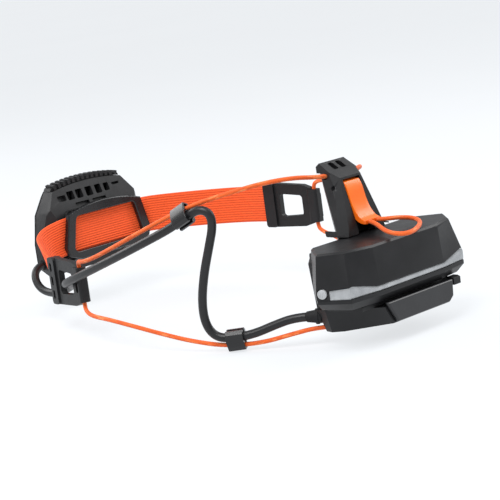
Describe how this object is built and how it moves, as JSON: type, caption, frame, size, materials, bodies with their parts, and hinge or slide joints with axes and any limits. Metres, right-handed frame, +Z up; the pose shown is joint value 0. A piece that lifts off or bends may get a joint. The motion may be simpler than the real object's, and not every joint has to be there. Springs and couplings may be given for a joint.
{
  "type": "headlamp",
  "caption": "Head-worn lamp with tilting light unit, elastic forehead strap, cord tensioning harness, front-to-rear cable and clip-on rear battery pack with tail strip.",
  "frame": {"origin": "centre of the opening that the wearer's head fills, at mid height of the forehead strap", "axes": "+Z up through the crown, -Y forward out of the forehead where the lamp is, +X to the wearer's left"},
  "size_m": [0.1491, 0.2589, 0.0804],
  "materials": {
    "strap_elastic": "elastic webbing with fine lengthwise ribs",
    "cord_braid": "braided sleeve with light flecks",
    "black_plastic": "satin moulded nylon",
    "lamp_plastic": "satin moulded polycarbonate",
    "dark_plastic": "fine textured moulding",
    "lever_orange": "glossy injection moulding",
    "cable_jacket": "satin extruded jacket",
    "soft_rubber": "matte silicone",
    "strip_lens": "ribbed clear strip over a silvered back",
    "button_grey": "ribbed light grey cap",
    "foam_pad": "ribbed soft pad",
    "black_aluminium": "black anodised",
    "lens_clear": "clear polycarbonate",
    "reflector_silver": "vacuum metallised",
    "steel_screw": "black zinc screw heads",
    "steel_pin": "polished pin",
    "circuit_board": "solder-masked laminate",
    "led_yellow": "phosphor under silicone",
    "led_red": "red emitter package",
    "cell_sleeve": "plain shrink-sleeved cell",
    "contact_brass": "gold flashed",
    "sensor_glass": "dark window",
    "label_black": "plain raised field, no mark"
  },
  "bodies": {
    "headband": {"forehead_frame": "black_plastic", "tilt_bracket": "black_plastic", "tilt_pin": "steel_pin", "headband_strap": "strap_elastic", "strap_connector_left": "black_plastic", "strap_connector_right": "black_plastic", "lamp_cable": "cable_jacket", "cord_left": "cord_braid", "cord_right": "cord_braid", "clip_upper": "dark_plastic", "clip_lower": "dark_plastic", "cradle_plate": "black_plastic", "contact_pins": "contact_brass", "cradle_pad": "foam_pad", "plug_housing": "black_plastic", "plug_board": "circuit_board", "label_panel": "label_black", "cable_gland": "soft_rubber", "lock_tower": "black_plastic", "lever_pin": "steel_pin", "lever_spring": "steel_pin"},
    "lamp": {"lamp_rear_shell": "lamp_plastic", "cooling_crest": "black_aluminium", "heat_sink": "black_aluminium", "front_bezel": "lamp_plastic", "lamp_gasket": "soft_rubber", "front_lens": "lens_clear", "reflector": "reflector_silver", "led_board": "circuit_board", "led_emitters": "led_yellow", "driver_board": "circuit_board", "light_sensor": "sensor_glass", "lamp_screws": "steel_screw", "lamp_cable_grommet": "soft_rubber"},
    "power_button": {"power_button": "lever_orange"},
    "battery": {"battery_cover": "black_plastic", "tail_light_lens": "strip_lens", "battery_base": "black_plastic", "battery_cell": "cell_sleeve", "battery_board": "circuit_board", "tail_leds": "led_red", "usb_socket": "steel_pin", "battery_contact_pads": "contact_brass", "battery_screws": "steel_screw"},
    "gauge_button": {"gauge_button": "button_grey"},
    "usb_cover": {"usb_cover": "soft_rubber"},
    "battery_latch": {"battery_latch": "dark_plastic"},
    "lever": {"lock_lever": "lever_orange", "pull_loop": "cord_braid"}
  },
  "joints": [
    {"name": "lamp_tilt", "type": "hinge", "parent": "headband", "child": "lamp", "pos_m": [0, -0.104, -0.014], "axis": [1, 0, 0], "range_deg": [0, 50]},
    {"name": "power_button_press", "type": "slide", "parent": "lamp", "child": "power_button", "axis": [1, 0, 0], "range_m": [0, 0.0012], "stiffness_N_per_m": 600},
    {"name": "battery_slide", "type": "slide", "parent": "headband", "child": "battery", "axis": [0, 1, 0], "range_m": [0, 0.03]},
    {"name": "gauge_button_press", "type": "slide", "parent": "battery", "child": "gauge_button", "axis": [-0.9148, -0.4039, 0], "range_m": [0, 0.0006], "stiffness_N_per_m": 500},
    {"name": "usb_cover_hinge", "type": "hinge", "parent": "battery", "child": "usb_cover", "pos_m": [-0.04007, 0.10626, -0.0119], "axis": [0.6446, -0.7645, 0], "range_deg": [0, 100]},
    {"name": "latch_press", "type": "slide", "parent": "headband", "child": "battery_latch", "axis": [0, 0, -1], "range_m": [0, 0.0012], "stiffness_N_per_m": 600},
    {"name": "lever_lift", "type": "hinge", "parent": "headband", "child": "lever", "pos_m": [0, 0.0956, 0.0272], "axis": [1, 0, 0], "range_deg": [0, 20], "stiffness_Nm_per_rad": 0.05}
  ]
}
